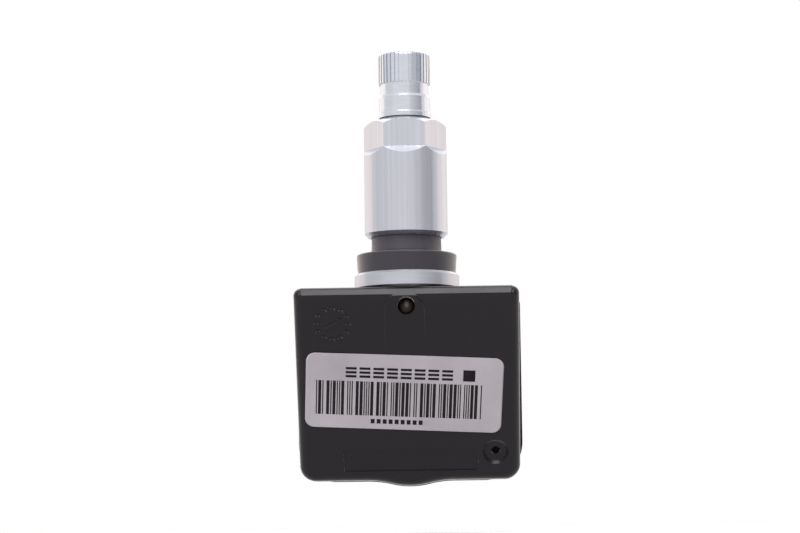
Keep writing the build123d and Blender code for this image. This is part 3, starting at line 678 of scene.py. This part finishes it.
class SENSOR_OT_nut(bpy.types.Operator):
    """Collar nut with milled flats, turned top and broken edges, in place of the plain solid"""

    bl_idname = "sensor.nut"
    bl_label = "Collar nut"

    def execute(self, context):
        size = context.scene.sensor_nut
        sides = 6
        columns = sides * size.columns
        theta = np.linspace(0.0, TURN, columns, endpoint=False)[None, :] - math.pi / 2.0
        sixth = TURN / sides
        lean = (np.arange(columns) % size.columns) / size.columns * sixth
        lean = np.minimum(lean, sixth - lean)[None, :]
        outline = self.outline(size, lean)
        rows = np.array([np.stack(pair) for pair in outline])
        points = turned(rows[:, 0], rows[:, 1], theta)
        nut = put_mesh("machined_nut", points, grid_faces(len(outline), columns), crease=25.0)
        bevel = nut.modifiers.new("broken edges", "BEVEL")
        bevel.width = size.edge
        bevel.segments = 2
        bevel.limit_method = "ANGLE"
        bevel.angle_limit = math.radians(24.0)
        bevel.harden_normals = True
        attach(nut, "nut")
        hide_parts("collar_nut")
        base = context.scene.sensor_finish.aluminium
        finish = metal_finish(
            "brushed_nut", base, around=60.0, along=60.0, depth=4e-6, gloss=0.3, contrast=0.14
        )
        dress(nut, finish)
        return {"FINISHED"}

    def outline(self, size, lean):
        """Radius and height of each row, from the foot's inner edge round the section and back.

        A flat stands off the axis by half the width across flats over the cosine of the lean from
        its middle. Its lower end drops by the sleeve's overhang times the tangent of the run-out
        slope, and its upper end by its own overhang times the tangent of the top slope.
        """
        radius, foot_bevel, mouth = size.radius, size.foot_bevel, size.mouth
        flat = size.half_flats / np.cos(lean)
        overhang = radius * np.cos(lean) - size.half_flats
        runout = size.flats_low - overhang * math.tan(size.runout_slope)
        cone_meet = size.high - (flat - size.half_flats) * math.tan(size.top_slope)
        level = 0.0 * lean
        return (
            (size.recess + level, size.low + level),
            (radius - foot_bevel + level, size.low + level),
            (radius + level, size.low + foot_bevel + level),
            (radius + level, runout),
            (flat, size.flats_low + level),
            (flat, cone_meet),
            (size.half_flats + level, size.high + level),
            (size.bore + mouth + level, size.high + level),
            (size.bore + level, size.high - mouth + level),
            (size.bore + level, size.recess_high + level),
            (size.recess + level, size.recess_high + level),
            (size.recess + level, size.low + level),
        )


class SENSOR_OT_cap(bpy.types.Operator):
    """Finish of the fluted dust cap and its rubber disc"""

    bl_idname = "sensor.cap"
    bl_label = "Dust cap"

    def execute(self, context):
        finish = context.scene.sensor_finish
        cap = metal_finish(
            "bright_cap", finish.bright, around=4.0, along=7000.0, depth=3e-6, gloss=0.18
        )
        disc = moulded_finish("cap_disc", finish.seal, scale=6000.0, depth=8e-6, gloss=0.6)
        dress(NODES["valve_cap"], cap)
        dress(NODES["cap_seal"], disc)
        return {"FINISHED"}


class SENSOR_OT_grommet(bpy.types.Operator):
    """Finish of the rubber grommet and the small rubber seals"""

    bl_idname = "sensor.grommet"
    bl_label = "Rubber grommet"

    def execute(self, context):
        finish = context.scene.sensor_finish
        skin = {"scale": 5000.0, "depth": 1.2e-5, "gloss": 0.5, "shine": 0.4}
        rubber = moulded_finish("grommet_skin", finish.rubber, **skin, sheen=1.0, nap=0.38)
        # Paints the neck above the flange paler, as painted light.
        self.painted_neck_light(rubber.node_tree, finish.painted_neck_light)
        dress(NODES["rubber_grommet"], rubber)
        seal = moulded_finish("seal_skin", finish.seal, scale=6000.0, depth=8e-6, gloss=0.45)
        for name in ("stem_seal_ring", "core_seal", "core_cup_seal", "port_gasket"):
            dress(NODES[name], seal)
        return {"FINISHED"}

    def painted_neck_light(self, tree, pale):
        """Paints light on the neck above the flange: the rubber's tone turns paler there, a painted
        highlight for the light that falls on the neck.
        """
        vector = tree.nodes["Texture Coordinate"].outputs["Object"]
        height = place(tree, "ShaderNodeSeparateXYZ", {0: vector}).outputs["Z"]
        starts, full = 0.1 * MM, 0.7 * MM
        # Cloudy spread of the painted light on the neck.
        fainter, stronger = 0.55, 1.3
        sockets = {"Value": height, "From Min": starts, "From Max": full}
        neck = place(tree, "ShaderNodeMapRange", sockets).outputs[0]
        cloud = noise(tree, vector, 700.0, detail=3.0, roughness=0.6)
        share = reckon(tree, "MULTIPLY", neck, spread(tree, cloud, fainter, stronger))
        wash(tree, share, pale)


class SENSOR_OT_label(bpy.types.Operator):
    """Label film with a lifted corner, and its printed bars and blocks, in place of the flat solid"""

    bl_idname = "sensor.label"
    bl_label = "Label"

    def execute(self, context):
        size = context.scene.sensor_label
        low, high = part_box("label")
        self.middle = np.array((low + high) / 2.0)
        self.size = size
        film = self.film()
        print_sheet = self.print_sheet()
        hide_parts("label")
        for piece in (film, print_sheet):
            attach(piece, "sensor")
        finish = context.scene.sensor_finish
        satin = moulded_finish("satin_film", finish.film, scale=2500.0, depth=4e-6, gloss=0.42)
        ink = moulded_finish("print_ink", finish.ink, scale=9000.0, depth=2e-6, gloss=0.6, shine=0.1)
        dress(film, satin)
        dress(print_sheet, ink)
        return {"FINISHED"}

    def lay(self, across, up, proud):
        """Points of the label: steps along its two sides and out from the case's face.

        The film stands off the face by slow waves, a sine times a cosine, and by a hump near the
        upper left corner: e to the power of minus the squared distance from its top.
        """
        size = self.size
        lean, turn = size.slope, size.turn
        wave_across, wave_up, wave_slant = 4.1 * MM, 3.3 * MM, 9.0 * MM
        hump_across, hump_up = -0.42 * size.width, 0.46 * size.height
        hump_width, hump_height = 7.0 * MM, 3.2 * MM
        out = np.array((0.0, -math.cos(lean), -math.sin(lean)))
        side = np.array((1.0, 0.0, 0.0))
        rise = np.array((0.0, -math.sin(lean), math.cos(lean)))
        along = math.cos(turn) * side + math.sin(turn) * rise
        upward = math.cos(turn) * rise - math.sin(turn) * side
        sway = np.sin(across / wave_across) * np.cos(up / wave_up + across / wave_slant)
        slow = 0.5 + 0.5 * sway
        away = ((across - hump_across) / hump_width) ** 2 + ((up - hump_up) / hump_height) ** 2
        stand = size.wave * slow + size.lift * np.exp(-away) + proud - size.thickness / 2.0
        across, up, stand = (step[..., None] for step in np.broadcast_arrays(across, up, stand))
        return self.middle + across * along + up * upward + stand * out

    def film(self):
        """The film: rows up the label, each as wide as the rounded corners leave it at that height."""
        size = self.size
        rows, columns = 61, 121
        ease = np.linspace(-1.0, 1.0, rows)
        up = np.sin(ease * math.pi / 2.0)[:, None] * size.height / 2.0
        past = np.maximum(0.0, np.abs(up) - (size.height / 2.0 - size.corner))
        inset = size.corner - np.sqrt(np.maximum(0.0, size.corner**2 - past**2))
        across = np.linspace(-1.0, 1.0, columns)[None, :] * (size.width / 2.0 - inset)
        points = self.lay(across, up + 0.0 * across, size.thickness)
        film = put_mesh("label_film", points, grid_faces(rows, columns, ring=False), crease=40.0)
        return thicken(film, size.thickness)

    def print_sheet(self):
        """The print: each patch is a strip of faces that follows the film, and reaches into it."""
        size = self.size
        rows, columns = 9, 2
        wall = 1.2 * size.ink
        edges = np.concatenate((self.bars(), self.strokes(), self.square(), self.dashes()))
        left, right, low, high = edges.T[:, :, None, None]
        share = np.linspace(0.0, 1.0, rows)[None, :, None]
        side = np.linspace(0.0, 1.0, columns)[None, None, :]
        across = left + (right - left) * side + 0.0 * share
        up = low + (high - low) * share + 0.0 * side
        points = self.lay(across, up, size.thickness + size.ink)
        first = np.arange(len(edges))[:, None, None, None] * rows * columns
        faces = first + grid_faces(rows, columns, ring=False)[None]
        return thicken(put_mesh("label_print", points, faces, crease=40.0), wall)

    def bars(self):
        """Edges of the bars: groups of five with two wide bars and one wide gap, drawn by lot."""
        size = self.size
        group, wide_bars, wide_gaps = 5, 2, 1
        left, right, low, high = -14.6 * MM, 12.9 * MM, -4.3 * MM, 1.8 * MM
        rng = np.random.default_rng(size.seed)
        lot = rng.random((size.groups, group)).argsort(axis=1)
        ink = np.where(lot < wide_bars, size.wide, 1.0)
        lot = rng.random((size.groups, group - 1)).argsort(axis=1)
        lot = np.column_stack((lot, np.ones(size.groups)))
        gap = np.where(lot < wide_gaps, size.wide, 1.0)
        edge = np.cumsum(np.stack((ink, gap), axis=-1).ravel())
        edge = left + np.concatenate(((0.0,), edge[:-1])) / edge[-2] * (right - left)
        return self.patches(edge[0::2], edge[1::2], low, high)

    def strokes(self):
        """Edges of the blocks over the bars: a row of small stacks of strokes."""
        blocks, block_first, block_step = 8, -9.75 * MM, 2.28 * MM
        count, first, step = 3, 2.45 * MM, 0.72 * MM
        width, height = 1.8 * MM, 0.42 * MM
        left = block_first + np.arange(blocks)[:, None] * block_step
        low = first + np.arange(count)[None, :] * step
        return self.patches(left, left + width, low, low + height)

    def square(self):
        """Edges of the square beside the blocks."""
        left, right, low, high = 9.7 * MM, 11.7 * MM, 2.4 * MM, 4.4 * MM
        return self.patches(left, right, low, high)

    def dashes(self):
        """Edges of the dashes in a row under the bars."""
        count, first, step = 9, -5.4 * MM, 1.0 * MM
        width, low, high = 0.66 * MM, -5.7 * MM, -4.9 * MM
        left = first + np.arange(count) * step
        return self.patches(left, left + width, low, high)

    def patches(self, left, right, low, high):
        """Rows of the left, right, low and high edge of each printed patch."""
        return np.stack(np.broadcast_arrays(left, right, low, high), axis=-1).reshape(-1, 4)


class SENSOR_OT_case(bpy.types.Operator):
    """Finish of the moulded case and its cover"""

    bl_idname = "sensor.case"
    bl_label = "Case"

    def execute(self, context):
        finish = context.scene.sensor_finish
        skin = {"scale": 4200.0, "depth": 1.0e-5, "gloss": 0.33, "shine": 0.25}
        plastic = moulded_finish("case_skin", finish.plastic, **skin, sheen=0.85, nap=0.3)
        for name in ("front_housing", "back_cover"):
            dress(NODES[name], plastic)
        return {"FINISHED"}


class SENSOR_OT_inner_parts(bpy.types.Operator):
    """Finishes of the valve core, cross pin, thrust ring, battery and circuit board"""

    bl_idname = "sensor.inner_parts"
    bl_label = "Inner parts"

    def execute(self, context):
        finish = context.scene.sensor_finish
        steel = metal_finish(
            "ground_steel", finish.steel, around=4.0, along=8000.0, depth=3e-6, gloss=0.28
        )
        brass = metal_finish(
            "turned_brass", finish.brass, around=4.0, along=9000.0, depth=3e-6, gloss=0.3
        )
        nickel = metal_finish(
            "rolled_nickel", finish.nickel, around=40.0, along=3000.0, depth=3e-6, gloss=0.3
        )
        copper = metal_finish(
            "drawn_copper", finish.copper, around=30.0, along=900.0, depth=2e-6, gloss=0.3
        )
        browned = moulded_finish(
            "browned_steel", finish.browned, scale=6000.0, depth=6e-6, gloss=0.45, shine=0.15
        )
        # Paints a glint on the pin's end, a highlight painted into its colour.
        self.painted_glint(browned.node_tree, finish.painted_glint)
        laminate = moulded_finish(
            "board_laminate", finish.board, scale=3000.0, depth=4e-6, gloss=0.4
        )
        chip = moulded_finish("chip_skin", finish.chip, scale=7000.0, depth=4e-6, gloss=0.5)
        ceramic = moulded_finish(
            "fired_ceramic", finish.ceramic, scale=6000.0, depth=4e-6, gloss=0.5
        )
        finishes = (
            (steel, ("thrust_ring",)),
            (browned, ("cross_pin",)),
            (brass, ("core_body", "core_pin", "core_cup")),
            (nickel, ("coin_cell", "positive_tab", "negative_tab", "crystal_can")),
            (copper, ("antenna_wire",)),
            (laminate, ("circuit_board",)),
            (chip, ("radio_chip", "pressure_sensor")),
            (ceramic, ("capacitors", "motion_switch")),
        )
        for material, names in finishes:
            for name in names:
                dress(NODES[name], material)
        return {"FINISHED"}

    def painted_glint(self, tree, bright):
        """Paints a glint on the pin's domed end: a painted highlight that turns its brown to a pale
        tone in a spot a little above its axis.
        """
        vector = tree.nodes["Texture Coordinate"].outputs["Object"]
        aside, above, tallness = 0.05, 0.3, 0.65
        # Where the painted glint is full, and where it fades out to the brown.
        glint_full, brown = 0.1 * MM, 0.5 * MM
        spot = (aside * MM, 0.0, (CASE_HIGH - PIN_DROP + above) * MM)
        shifted = vector_sum(tree, "SUBTRACT", {0: vector, 1: spot}).outputs[0]
        flat = vector_sum(tree, "MULTIPLY", {0: shifted, 1: (1.0, 0.0, tallness)}).outputs[0]
        away = vector_sum(tree, "LENGTH", {0: flat}).outputs["Value"]
        sockets = {"Value": away, "From Min": brown, "From Max": glint_full}
        wash(tree, place(tree, "ShaderNodeMapRange", sockets).outputs[0], bright)


class SENSOR_OT_effects(bpy.types.Operator):
    """Shared shader groups that the finishes draw on"""

    bl_idname = "sensor.effects"
    bl_label = "Shared effects"

    def execute(self, context):
        moulded_grain()
        tool_lines()
        return {"FINISHED"}


class SENSOR_OT_stage(bpy.types.Operator):
    """White studio: floor, surround, lamps, cards and the camera"""

    bl_idname = "sensor.stage"
    bl_label = "Studio"

    def execute(self, context):
        size = context.scene.sensor_stage
        self.floor(size)
        self.world(context.scene, size)
        white, warm = (1.0, 1.0, 1.0), (1.0, 0.72, 0.52)
        wide = (0.9, 0.9)
        self.lamp("top", spot=(0.0, -0.54, 0.84), sides=(0.8, 0.40), watts=10.0, tone=white)
        self.lamp("back", spot=(0.0, 0.75, 0.75), sides=wide, watts=3.0, tone=white)
        self.lamp("left", spot=(-0.80, 0.62, 0.10), sides=wide, watts=1.1, tone=warm)
        self.lamp("right", spot=(0.80, 0.62, 0.10), sides=wide, watts=1.1, tone=warm)
        fill = self.lamp("fill", spot=(-0.45, -0.90, 0.35), sides=(0.6, 0.6), watts=6.5, tone=white)
        fill.visible_glossy = False
        self.card("right_card", spot=(0.324, -0.235), width=0.46, tones=(0.88, 0.45))
        self.card("left_card", spot=(-0.390, -0.087), width=0.34, tones=(0.92, 0.92))
        self.camera(context.scene, size)
        context.scene.view_settings.view_transform = "Standard"
        return {"FINISHED"}

    def seen(self, tree):
        """1 for what the camera sees, straight or through metal and glass, and 0 for other light."""
        path = place(tree, "ShaderNodeLightPath")
        straight, glossy = path.outputs["Is Camera Ray"], path.outputs["Is Glossy Ray"]
        clear = reckon(tree, "MAXIMUM", straight, glossy)
        return reckon(tree, "MAXIMUM", clear, path.outputs["Is Transmission Ray"])

    def floor(self, size):
        """A square of pale paper under the part, which glows white where it is seen."""
        reach, level = 0.6, CAD_BOX[0][2] - size.floor_drop
        corners = np.array(((-1.0, -1.0), (1.0, -1.0), (1.0, 1.0), (-1.0, 1.0))) * reach
        points = np.column_stack((corners, np.full(4, level)))
        mesh = bpy.data.meshes.new("floor")
        mesh.from_pydata(points, [], [(0, 1, 2, 3)])
        floor = link_mesh("floor", mesh)
        material, tree = bare_material("pale_floor")
        paper = place(tree, "ShaderNodeBsdfDiffuse", {"Color": (0.5, 0.5, 0.5, 1.0)})
        strength = reckon(tree, "MULTIPLY", self.seen(tree), size.floor_glow)
        glow = place(tree, "ShaderNodeEmission", {"Strength": strength})
        both = place(tree, "ShaderNodeAddShader", {0: paper.outputs[0], 1: glow.outputs[0]})
        place(tree, "ShaderNodeOutputMaterial", {"Surface": both.outputs[0]})
        mesh.materials.append(material)

    def world(self, scene, size):
        """A white surround that lights the part less than it shows."""
        world = bpy.data.worlds.new("studio")
        world.use_nodes = True
        tree = world.node_tree
        tree.nodes.clear()
        strength = spread(tree, self.seen(tree), size.ambient, 1.0)
        sockets = {"Color": (1.0, 1.0, 1.0, 1.0), "Strength": strength}
        sky = place(tree, "ShaderNodeBackground", sockets)
        place(tree, "ShaderNodeOutputWorld", {"Surface": sky.outputs[0]})
        scene.world = world

    def card(self, name, spot, width, tones):
        """A tall grey card that stands beside the camera, shaded from one side to the other.

        It shows only in gloss.
        """
        across = np.array((-spot[1], spot[0])) / math.hypot(*spot) * width / 2.0
        corners = np.array((spot - across, spot + across, spot + across, spot - across))
        reach = 0.4
        levels = np.array((-reach, -reach, reach, reach))
        mesh = bpy.data.meshes.new(name)
        mesh.from_pydata(np.column_stack((corners, levels)), [], [(0, 1, 2, 3)])
        card = link_mesh(name, mesh)
        card.visible_camera = False
        card.visible_shadow = False
        card.visible_diffuse = False
        material, tree = bare_material(name)
        shading = mesh.attributes.new("shading", "FLOAT", "POINT")
        shading.data.foreach_set("value", np.array(tones + tones[::-1]))
        tone = place(tree, "ShaderNodeAttribute", attribute_name="shading").outputs["Fac"]
        grey = place(tree, "ShaderNodeEmission", {"Strength": tone})
        place(tree, "ShaderNodeOutputMaterial", {"Surface": grey.outputs[0]})
        mesh.materials.append(material)

    def lamp(self, name, spot, sides, watts, tone):
        """A flat lamp turned towards the part, out of the camera's sight."""
        light = bpy.data.lights.new(name, "AREA")
        light.shape = "RECTANGLE"
        light.size, light.size_y = sides
        light.energy = watts
        light.color = tone
        lamp = bpy.data.objects.new(name, light)
        lamp.location = spot
        lamp.rotation_mode = "QUATERNION"
        lamp.rotation_quaternion = (-Vector(spot)).to_track_quat("-Z", "Y")
        lamp.visible_camera = False
        bpy.context.scene.collection.objects.link(lamp)
        return lamp

    def camera(self, scene, size):
        """The camera, its distance back from the aim and leaned by the roll."""
        azimuth, elevation, roll = size.azimuth, size.elevation, size.roll
        back = Vector(
            (
                math.sin(azimuth) * math.cos(elevation),
                -math.cos(azimuth) * math.cos(elevation),
                math.sin(elevation),
            )
        )
        right = (-back).cross(Vector((0.0, 0.0, 1.0))).normalized()
        up = back.cross(right)
        leaned_right = math.cos(roll) * right + math.sin(roll) * up
        leaned_up = math.cos(roll) * up - math.sin(roll) * right
        lens = bpy.data.cameras.new("camera")
        lens.sensor_width = 36.0
        lens.lens = size.focal / IMAGE_WIDTH * lens.sensor_width
        lens.shift_x = -size.offset / IMAGE_WIDTH
        lens.clip_start = 0.01
        camera = bpy.data.objects.new("camera", lens)
        turn = Matrix((leaned_right, leaned_up, back)).transposed().to_4x4()
        spot = Vector((0.0, 0.0, size.aim)) + back * size.distance
        camera.matrix_world = Matrix.Translation(spot) @ turn
        scene.collection.objects.link(camera)
        scene.camera = camera


class SENSOR_PT_panel(bpy.types.Panel):
    """Lists the steps that dress the sensor"""

    bl_idname = "SENSOR_PT_panel"
    bl_label = "Tyre pressure sensor"
    bl_space_type = "VIEW_3D"
    bl_region_type = "UI"
    bl_category = "Sensor"

    def draw(self, context):
        for step in STEPS:
            self.layout.operator(step.bl_idname)


SETTINGS = (
    ("sensor_stem", StemSizes),
    ("sensor_spring", SpringSizes),
    ("sensor_nut", NutSizes),
    ("sensor_label", LabelSizes),
    ("sensor_finish", Finishes),
    ("sensor_stage", StageSizes),
)
STEPS = (
    SENSOR_OT_effects,
    SENSOR_OT_stem,
    SENSOR_OT_spring,
    SENSOR_OT_nut,
    SENSOR_OT_cap,
    SENSOR_OT_grommet,
    SENSOR_OT_label,
    SENSOR_OT_case,
    SENSOR_OT_inner_parts,
    SENSOR_OT_stage,
)


def register():
    for name, group in SETTINGS:
        bpy.utils.register_class(group)
        setattr(bpy.types.Scene, name, PointerProperty(type=group))
    for made in (*STEPS, SENSOR_PT_panel):
        bpy.utils.register_class(made)


def unregister():
    for made in (SENSOR_PT_panel, *reversed(STEPS)):
        bpy.utils.unregister_class(made)
    for name, group in reversed(SETTINGS):
        delattr(bpy.types.Scene, name)
        bpy.utils.unregister_class(group)


def main():
    register()
    bpy.ops.sensor.effects()
    bpy.ops.sensor.stem()
    bpy.ops.sensor.spring()
    bpy.ops.sensor.nut()
    bpy.ops.sensor.cap()
    bpy.ops.sensor.grommet()
    bpy.ops.sensor.label()
    bpy.ops.sensor.case()
    bpy.ops.sensor.inner_parts()
    bpy.ops.sensor.stage()


if __name__ == "__main__":
    main()
